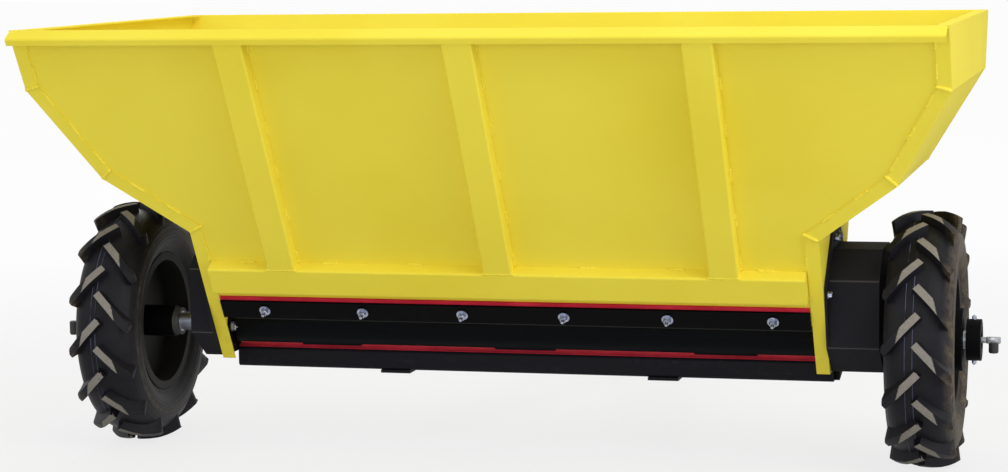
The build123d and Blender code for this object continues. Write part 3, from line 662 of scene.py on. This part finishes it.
def carcass_mesh(lines):
    """Tyre without its lugs: crown with two mould lines, walls with low rings, open at the beads."""
    half = []
    for (ax, ar), (bx, br) in zip(CROWN, CROWN[1:]):
        steps = max(1, round(hypot(bx - ax, br - ar) / PROFILE_STEP))
        for k in range(steps):
            half.append((ax + (bx - ax) * k / steps, ar + (br - ar) * k / steps))
    half.append(CROWN[-1])
    raised = []
    for x, r in half:
        on_ring = x > WALL_FROM_X and min(abs(r - ring) for ring in WALL_RINGS) < RING_HALF
        raised.append((x + RING_HIGH if on_ring else x, r))
    profile = [(-x, r) for x, r in raised[:0:-1]] + raised
    for line in lines:
        top = along(CROWN, abs(line))
        step = [(line - LINE_HALF, top), (line - LINE_HALF / 2, top + RING_HIGH),
                (line + LINE_HALF / 2, top + RING_HIGH), (line + LINE_HALF, top)]
        clear = [(x, r) for x, r in profile if r < TREAD_FROM_R or abs(x - line) > 1.4 * LINE_HALF]
        before = [(x, r) for x, r in clear if x < (0 if r < TREAD_FROM_R else line)]
        profile = before + step + clear[len(before):]
    mesh = revolve(profile, AROUND, closed=True)
    worn = mesh.attributes.new("worn", "FLOAT", "POINT")
    dusty = mesh.attributes.new("dusty", "FLOAT", "POINT")
    mould_line_highlight = mesh.attributes.new("mould_line_highlight", "FLOAT", "POINT")
    for i, vertex in enumerate(mesh.vertices):
        radius = hypot(vertex.co.y, vertex.co.z)
        worn.data[i].value = -1.0
        near = min(abs(vertex.co.x - line) for line in lines)
        # marks the tops of the mould lines for their painted highlight
        mould_line_highlight.data[i].value = 1.0 if near < 0.6 * LINE_HALF and radius > TREAD_FROM_R else 0.0
        outward = ramp(vertex.co.x, 0.044, 0.014)
        inward = ramp(-vertex.co.x, 0.050, 0.012)
        low = ramp(0.205 - radius, 0.0, 0.02)
        # a thin brown ring painted round the inner wall, through the dust mix
        ring = 0.7 if vertex.co.x < -0.05 and abs(radius - INNER_BROWN_RING) < RING_HALF else 0.0
        dusty.data[i].value = max(outward * (0.45 + 0.4 * low) + inward * 0.12 * low, ring)
    return mesh


def lug_mesh():
    """One lug at the top of a wheel, in the wheel's own axes: a bent bar, worn up to a slanting line."""
    (ax, ay), (mx, my), (bx, by) = LUG_RUN
    first = hypot(mx - ax, my - ay)
    whole = first + hypot(bx - mx, by - my)
    shape = bmesh.new()
    worn = shape.verts.layers.float.new("worn")
    dusty = shape.verts.layers.float.new("dusty")
    rows = []
    for i in range(LUG_STEPS + 1):
        share = i / LUG_STEPS
        t = share * whole
        if t < first:
            x, y = ax + (mx - ax) * t / first, ay + (my - ay) * t / first
        else:
            u = (t - first) / (whole - first)
            x, y = mx + (bx - mx) * u, my + (by - my) * u
        bend = min(1.0, max(0.0, (t - first) / (LUG_BEND * whole) + 0.5))
        dx = (mx - ax) / first * (1 - bend) + (bx - mx) / (whole - first) * bend
        dy = (my - ay) / first * (1 - bend) + (by - my) / (whole - first) * bend
        span = hypot(dx, dy)
        wide = LUG_WIDE / 2 * (0.96 + 0.1 * share)
        row = []
        for w, drop in LUG_SECTION:
            px, py = x - dy / span * wide * w, y + dx / span * wide * w
            px = min(px, LUG_RUN[-1][0])
            if drop is None:
                radius = along(SHOULDER, abs(px)) - LUG_SINK
                if px > LUG_WALL_X:
                    px, radius = LUG_WALL_X, LUG_WALL_R
            else:
                radius = along(LUG_TOP, px) - drop
            vertex = shape.verts.new((px, radius * sin(py / TYRE_R), radius * cos(py / TYRE_R)))
            vertex[worn] = WORN_END - WORN_SKEW * w - share if drop == 0.0 else -1.0
            vertex[dusty] = ramp(share, 0.72, 0.28) * 0.7
            row.append(vertex)
        rows.append(row)
    for here, there in zip(rows, rows[1:]):
        for k in range(len(LUG_SECTION) - 1):
            shape.faces.new((here[k], here[k + 1], there[k + 1], there[k]))
    shape.faces.new(rows[0])
    shape.faces.new(rows[-1][::-1])
    shape.faces.new([row[0] for row in rows] + [row[-1] for row in reversed(rows)])
    bmesh.ops.recalc_face_normals(shape, faces=shape.faces)
    mesh = bpy.data.meshes.new("lug")
    shape.to_mesh(mesh)
    shape.free()
    return mesh


def rounded_box(sizes, edge):
    """Box round the origin with its edges rounded off."""
    shape = bmesh.new()
    bmesh.ops.create_cube(shape, size=1.0)
    bmesh.ops.scale(shape, vec=sizes, verts=shape.verts)
    bmesh.ops.bevel(shape, geom=shape.edges[:], offset=edge, segments=2, profile=0.5, affect="EDGES")
    mesh = bpy.data.meshes.new("rounded_box")
    shape.to_mesh(mesh)
    shape.free()
    return mesh


def drawn_out(name, profile, start, end):
    """Closed mesh of a (y, z) profile drawn out along X."""
    count = len(profile)
    points = [(start, y, z) for y, z in profile] + [(end, y, z) for y, z in profile]
    faces = [(i, (i + 1) % count, count + (i + 1) % count, count + i) for i in range(count)]
    faces += [tuple(range(count)), tuple(range(count, 2 * count))]
    mesh = bpy.data.meshes.new(name)
    mesh.from_pydata(points, [], faces)
    shape = bmesh.new()
    shape.from_mesh(mesh)
    bmesh.ops.recalc_face_normals(shape, faces=shape.faces)
    shape.to_mesh(mesh)
    shape.free()
    return mesh


def joined(name, meshes):
    """One mesh from several, each with the matrix that puts it in place."""
    shape = bmesh.new()
    for mesh, matrix in meshes:
        verts_before = len(shape.verts)
        faces_before = len(shape.faces)
        shape.from_mesh(mesh)
        shape.verts.ensure_lookup_table()
        shape.faces.ensure_lookup_table()
        bmesh.ops.transform(shape, matrix=matrix, verts=shape.verts[verts_before:])
        if matrix.determinant() < 0:
            bmesh.ops.reverse_faces(shape, faces=shape.faces[faces_before:])
    mesh = bpy.data.meshes.new(name)
    shape.to_mesh(mesh)
    shape.free()
    return mesh


def inset(run, gap):
    """The end walls' run moved in by gap, with mitred corners."""
    moved = []
    for i, (x, z) in enumerate(run):
        before = Vector(run[i]) - Vector(run[i - 1]) if i else Vector(run[1]) - Vector(run[0])
        after = Vector(run[i + 1]) - Vector(run[i]) if i + 1 < len(run) else before
        u = Vector((-before.y, before.x)).normalized()
        v = Vector((-after.y, after.x)).normalized()
        moved.append((x - (u + v).x * gap / (1 + u.dot(v)), z - (u + v).y * gap / (1 + u.dot(v))))
    return moved


def ring_path(middle, u, v):
    """Closed run round four corners; u and v reach from the middle to two sides."""
    corners = []
    for a, b in ((-1, -1), (1, -1), (1, 1), (-1, 1), (-1, -1)):
        corners.append(tuple(Vector(middle) + a * Vector(u) + b * Vector(v)))
    return corners


MIRROR_X = Matrix.Diagonal((-1, 1, 1, 1))
one_lug = lug_mesh()
clean_lug = joined("lug_inner_side", [(one_lug, MIRROR_X)])
for point in clean_lug.attributes["dusty"].data:
    point.value = 0.0
pitch = 2 * pi / LUGS
for side, way in SIDES:
    phase = LUG_PHASE[side]
    rows = []
    for name, lug, turn in (("outer", one_lug, phase), ("inner", clean_lug, phase + pitch / 2)):
        values = {"Count": LUGS, "First Turn": turn, "Material": RUBBER}
        rows.append(ROUND.grow(f"lugs_{name}_{side}", lug.copy(), values))
    place = Matrix.Translation((WHEEL_X[side], AXLE_Y, AXLE_Z)) @ Matrix.Diagonal((way, 1, 1, 1))
    carcass = carcass_mesh(MOULD_LINES[side])
    tyre = joined(f"tyre_{side}_moulded", [(mesh, place) for mesh in (carcass, *rows)])
    smooth(tyre, 30)
    piece = add_piece(f"tyre_{side}_moulded", tyre, RUBBER, f"wheel_{side}")
    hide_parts(f"tyre_{side}")

# nuts on the gate plates
for side, name in ((-1, "rear"), (1, "front")):
    table = []
    for i in range(BOLTS):
        x = MID_X + BOLT_SHIFT + BOLT_PITCH * (i - (BOLTS - 1) / 2)
        y, z = on_slope(GATE_FACE, GATE_MID, side)
        table.append(((x, y, z), (0, side * C, -S)))
    fasteners(f"gate_nuts_{name}", table, "frame", GATE_NUT)

# bolts of the side boxes and of the shaft bearings
PLATE_BOLTS = ((-0.025, 0.430), (0.025, 0.430), (-0.134, 0.337), (0.134, 0.337))
PLATE_OUT = 0.005
BEARING_BOLTS = ((-0.034, -0.004), (0.034, -0.004))
BEARING_IN = 0.009
table = []
for way, spots in ((-1, PLATE_BOLTS[:2]), (1, PLATE_BOLTS)):
    for y, z in spots:
        table.append(((MID_X + way * (LEG_HALF + PLATE_OUT), AXLE_Y + y, z), (way, 0, 0)))
fasteners("side_box_bolts", table, "frame", BOX_BOLT)
table = []
for way in (-1, 1):
    for y, z in BEARING_BOLTS:
        table.append(((MID_X + way * (LEG_HALF - BEARING_IN), AXLE_Y + y, AXLE_Z + z), (-way, 0, 0)))
fasteners("bearing_bolts", table, "frame", BEARING_BOLT)

# wheel bolts through the rim discs, on the outer face
WHEEL_BOLTS = 4
WHEEL_BOLT_R = 0.058
DISC_IN = 0.001
for side, way in SIDES:
    table = []
    for i in range(WHEEL_BOLTS):
        turn = (2 * i + 1) * pi / WHEEL_BOLTS
        y = AXLE_Y + WHEEL_BOLT_R * cos(turn)
        z = AXLE_Z + WHEEL_BOLT_R * sin(turn)
        table.append(((WHEEL_X[side] - way * DISC_IN, y, z), (way, 0, 0)))
    fasteners(f"wheel_bolts_{side}", table, f"wheel_{side}", WHEEL_BOLT)

# set screws of the lock collars; lock pins: a rod, with a flat flag on the right, and a black knob under it
SCREW_SINK = 0.0008
PIN_LONG = 0.058
PIN_R = 0.006
PIN_FLAG = 0.027
FLAG_WIDE = 0.0095
FLAG_TALL = 0.0125
FLAG_EDGE = 0.002
POLE_R = 0.0004
PIN_TUCK = 0.007
KNOB_BACK = 0.013
KNOB = ((0.004, POLE_R), (0.004, 0.0075), (0.0055, 0.0092), (0.0215, 0.0092), (0.0240, 0.0078),
        (0.0248, POLE_R))
KNOB_DROP = {"right": 1.0, "left": 1.38}
PIN_SIDES = 32
KNOB_SIDES = 36
table = []
for side, way in SIDES:
    for up in (-1, 1):
        spot = (WHEEL_X[side] + way * COLLAR_OUT, AXLE_Y, AXLE_Z + up * (COLLAR_R - SCREW_SINK))
        table.append((spot, (0, 0, up)))
fasteners("collar_screws", table, "rotor", COLLAR_SCREW)
for side, way in SIDES:
    tip = pin_high.x if way > 0 else pin_low.x + PIN_TUCK
    rod_run = [(-PIN_LONG, POLE_R), (-PIN_LONG, PIN_R), (-PIN_FLAG, PIN_R), (-PIN_FLAG, POLE_R)]
    along_axis = Matrix.Translation((tip, AXLE_Y, AXLE_Z)) @ Matrix.Diagonal((way, 1, 1, 1))
    shapes = [(revolve(rod_run, PIN_SIDES, closed=False), along_axis)]
    if way > 0:
        flag = rounded_box((PIN_FLAG, FLAG_WIDE, FLAG_TALL), FLAG_EDGE)
        shapes.append((flag, along_axis @ Matrix.Translation((-PIN_FLAG / 2, 0, 0))))
    pin = joined(f"lock_pin_{side}_drawn", shapes)
    smooth(pin)
    piece = add_piece(f"lock_pin_{side}_drawn", pin, ZINC if way > 0 else GRIP, "rotor")
    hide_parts("lock_pins")
    knob = revolve([(z * KNOB_DROP[side], r) for z, r in KNOB], KNOB_SIDES, closed=False)
    under = Matrix.Translation((tip - way * KNOB_BACK, AXLE_Y, AXLE_Z))
    downward = under @ Matrix.Rotation(pi / 2, 4, "Y")
    grip = joined(f"lock_pin_{side}_knob", [(knob, downward)])
    smooth(grip)
    add_piece(f"lock_pin_{side}_knob", grip, GRIP, "rotor")

# lip of the front sheet's flap: it bends over the beam's rounded upper edge
LIP_THICK = 0.0012
LIP_GAP = 0.0001
LIP_FROM = radians(64)
LIP_TO = radians(118)
LIP_STEPS = 12
flap_low, flap_high = (Vector(corner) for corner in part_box("seal_front"))
beam_low, beam_high = (Vector(corner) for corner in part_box("frame_beam"))
lip_arc = [LIP_FROM + (LIP_TO - LIP_FROM) * i / LIP_STEPS for i in range(LIP_STEPS + 1)]
lip_run = [(BEAM_R + LIP_THICK, turn) for turn in lip_arc]
lip_run += [(BEAM_R + LIP_GAP, turn) for turn in reversed(lip_arc)]
lip_profile = []
for r, turn in lip_run:
    lip_profile.append((beam_low.y + BEAM_R - r * cos(turn), beam_high.z - BEAM_R + r * sin(turn)))
lip = drawn_out("flap_lip", lip_profile, flap_low.x, flap_high.x)
smooth(lip)
add_piece("flap_lip", lip, RED, "frame")

# weld beads: mitres of the end walls' flanges, stitches beside the ribs and over the cross bars
RIBS = (-RIM_X / 2, 0, RIM_X / 2)
FLANGE_STITCHES = ((0, (0.25, 0.75)), (1, (0.15, 0.5, 0.85)), (2, (0.3, 0.7)), (3, (0.2,)))
RIB_STITCHES = (0.26, 0.36, 0.46, 0.56, 0.66, 0.74)
STITCH_HALF = 0.012
BAR_STITCHES = 7
BAR_STITCH_RUN = 1.0
BAR_STITCH_HALF = 0.013
RIB_CLEAR = 0.05
PROUD = 0.001
NEAR = 0.0005
STITCH_R = 0.0032
MITRE_R = 0.0040
inner = inset(END_RUN, END_FLANGE)
outer = inset(END_RUN, SHEET)
paths = []
mitres = []
for side in (-1, 1):
    for way in (-1, 1):
        for i in (1, 2, 3):
            ends = []
            for x, z in (outer[i], inner[i]):
                s = (z - FOOT_Z + S * SHEET) / C
                y, level = on_slope(SHEET, s, side)
                ends.append((MID_X + way * x, y, level))
            mitres.append(ends)
        for i, shares in FLANGE_STITCHES:
            for share in shares:
                ends = []
                run_x = inner[i + 1][0] - inner[i][0]
                run_z = inner[i + 1][1] - inner[i][1]
                half = STITCH_HALF / hypot(run_x, run_z)
                for t in (share - half, share + half):
                    z = inner[i][1] + run_z * t
                    y, level = on_slope(PROUD, (z - FOOT_Z) / C, side)
                    ends.append((MID_X + way * (inner[i][0] + run_x * t), y, level))
                paths.append(ends)
    for x in RIBS:
        for way in (-1, 1):
            for s in RIB_STITCHES:
                ends = []
                for t in (s - STITCH_HALF, s + STITCH_HALF):
                    y, z = on_slope(PROUD, t, side)
                    ends.append((MID_X + x + way * (RIB_WIDTH / 2 + NEAR), y, z))
                paths.append(ends)
        y, z = on_slope(RIB_DEEP - 2 * PROUD, BAR_TOP + NEAR, side)
        paths.append([(MID_X + x - RIB_WIDTH / 2, y, z), (MID_X + x + RIB_WIDTH / 2, y, z)])
    for i in range(BAR_STITCHES):
        x = BAR_STITCH_RUN * (i / (BAR_STITCHES - 1) - 0.5)
        if min(abs(x - rib) for rib in RIBS) > RIB_CLEAR:
            y, z = on_slope(PROUD, BAR_TOP + NEAR, side)
            paths.append([(MID_X + x - BAR_STITCH_HALF, y, z), (MID_X + x + BAR_STITCH_HALF, y, z)])
beads("hopper_welds", paths, "frame", STITCH_R, YELLOW)
beads("hopper_mitre_welds", mitres, "frame", MITRE_R, YELLOW)

# drawbar: weld beads at beam, head and stand clamp, bolts through the coupling, grip on its lever
ARM_DOWN = 0.020
NECK_RING = ((0.031, 0, 0), (0, 0, 0.031))
ARM_HEAD_RING = ((0.0315, 0, 0), (0, 0, 0.0215))
ARM_FOOT_RING = ((0.032, 0, 0), (0, 0, 0.018))
TAB_RING = ((0, 0.0225, 0), (0, 0, 0.0285))
TUBE_BEAD_R = 0.0030
TAB_BEAD_R = 0.0026
paths = [ring_path((MID_X, AXLE_Y + HEAD_FRONT, NECK_Z), *NECK_RING)]
for way in (-1, 1):
    arm_head = (MID_X + way * ARM_HEAD_X, AXLE_Y + HEAD_BACK, HEAD_Z)
    arm_foot = (MID_X + way * ARM_FOOT_X, beam_high.y, beam_high.z - ARM_DOWN)
    paths.append(ring_path(arm_head, *ARM_HEAD_RING))
    paths.append(ring_path(arm_foot, *ARM_FOOT_RING))
beads("drawbar_welds", paths, "frame", TUBE_BEAD_R, TUBE)
tab = (MID_X - NECK_HALF, AXLE_Y + STAND_Y, NECK_Z)
beads("stand_tab_welds", [ring_path(tab, *TAB_RING)], "frame", TAB_BEAD_R, ZINC)
table = []
for way in (-1, 1):
    for y in COUPLING_BOLTS:
        table.append(((MID_X + way * SLEEVE_HALF, AXLE_Y + y, NECK_Z), (way, 0, 0)))
fasteners("coupling_bolts", table, "frame", COUPLING_BOLT)
LEVER_GRIP = (0.0265, 0.032, 0.0090)
GRIP_EDGE = 0.003
at_lever = Matrix.Translation((MID_X, AXLE_Y + LEVER_END[0], LEVER_END[1]))
tilted = at_lever @ Matrix.Rotation(-LEVER_TILT, 4, "X")
grip = joined("lever_grip", [(rounded_box(LEVER_GRIP, GRIP_EDGE), tilted)])
smooth(grip)
add_piece("lever_grip", grip, GRIP, "frame")

# stage: pale floor and backdrop, soft light, camera
FLOOR_HALF = 40
GLOW_NEAR = 0.78
GLOW_GAIN = 0.18
GLOW_FROM = 1.2
GLOW_TO = 4.2
AMBIENT = 0.42
floor_mesh = bpy.data.meshes.new("floor")
corners = [(-1, -1), (1, -1), (1, 1), (-1, 1)]
floor_mesh.from_pydata([(FLOOR_HALF * x, FLOOR_HALF * y, 0) for x, y in corners], [], [(0, 1, 2, 3)])
floor = bpy.data.objects.new("floor", floor_mesh)
bpy.context.scene.collection.objects.link(floor)
floor_finish, ground = new_finish("pale_floor")
grain = ground.noise(3.0, 2.0)
paper = ground.node("ShaderNodeBsdfPrincipled", {}, {
    "Base Color": grain.mix((0.56, 0.56, 0.56, 1), (0.58, 0.58, 0.58, 1)), "Roughness": 0.9})
glow = ground.node("ShaderNodeEmission", {}, {"Color": (1, 1, 1, 1), "Strength": 1.0})
east = ground.axis("X") - MID_X
north = ground.axis("Y") - AXLE_Y
far = ((east * east + north * north) ** 0.5).between(GLOW_FROM, GLOW_TO)
share = background_rays(ground) * (GLOW_NEAR + far * GLOW_GAIN)
pale = ground.node("ShaderNodeMixShader", {}, {0: share, 1: paper, 2: glow})
ground.node("ShaderNodeOutputMaterial", {}, {"Surface": pale})
floor_mesh.materials.append(floor_finish)

world = bpy.data.worlds.new("studio")
bpy.context.scene.world = world
world.use_nodes = True
world.node_tree.nodes.clear()
sky = Wire(world.node_tree)
plain = sky.node("ShaderNodeBackground", {}, {"Color": (1, 1, 1, 1), "Strength": AMBIENT})
white = sky.node("ShaderNodeBackground", {}, {"Color": (1, 1, 1, 1), "Strength": 1.0})
both = sky.node("ShaderNodeMixShader", {}, {0: background_rays(sky), 1: plain, 2: white})
sky.node("ShaderNodeOutputWorld", {}, {"Surface": both})

# lamps: name, place, what they look at, size and power
LAMPS = (
    ("key", (3.0, -3.6, 4.4), (0.1, -0.4, 0.5), 2.6, 110),
    ("side", (5.4, -2.2, 1.5), (0.3, -0.5, 0.4), 2.2, 75),
    ("fill", (-3.8, -3.4, 2.4), (-0.2, -0.4, 0.4), 2.6, 28),
    ("low", (0.2, -5.0, 0.7), (0, -0.6, 0.5), 2.4, 50),
    ("top", (0.2, 0.8, 4.2), (0, 0, 0.4), 3.0, 62),
    ("front", (-2.4, 5.6, 2.6), (0, 0.2, 0.4), 2.8, 80))
for name, place, aim, size, power in LAMPS:
    lamp = bpy.data.lights.new(name, "AREA")
    lamp.size = size
    lamp.energy = power
    holder = bpy.data.objects.new(name, lamp)
    holder.location = place
    holder.rotation_euler = (Vector(aim) - Vector(place)).to_track_quat("-Z", "Y").to_euler()
    bpy.context.scene.collection.objects.link(holder)

# camera: turned from straight behind, dipped and rolled as fitted; its place counts from under the axle
TURN = radians(14.464)
DIP = radians(6.426)
ROLL = radians(0.798)
CAMERA_PLACE = (1.2188, -4.8816, 0.9892)
SENSOR_MM = 36
LENS_MM = 93.37
forward = Vector((-sin(TURN) * cos(DIP), cos(TURN) * cos(DIP), -sin(DIP)))
across = Vector((cos(TURN), sin(TURN), 0))
down = forward.cross(across)
right = cos(ROLL) * across + sin(ROLL) * down
below = cos(ROLL) * down - sin(ROLL) * across
lens = bpy.data.cameras.new("camera")
lens.sensor_width = SENSOR_MM
lens.lens = LENS_MM
camera = bpy.data.objects.new("camera", lens)
axes = Matrix((right, -below, -forward)).transposed().to_4x4()
eye = Vector(CAMERA_PLACE) + Vector((MID_X, AXLE_Y, 0))
camera.matrix_world = Matrix.Translation(eye) @ axes
bpy.context.scene.collection.objects.link(camera)
bpy.context.scene.camera = camera
bpy.context.scene.view_settings.view_transform = "Standard"
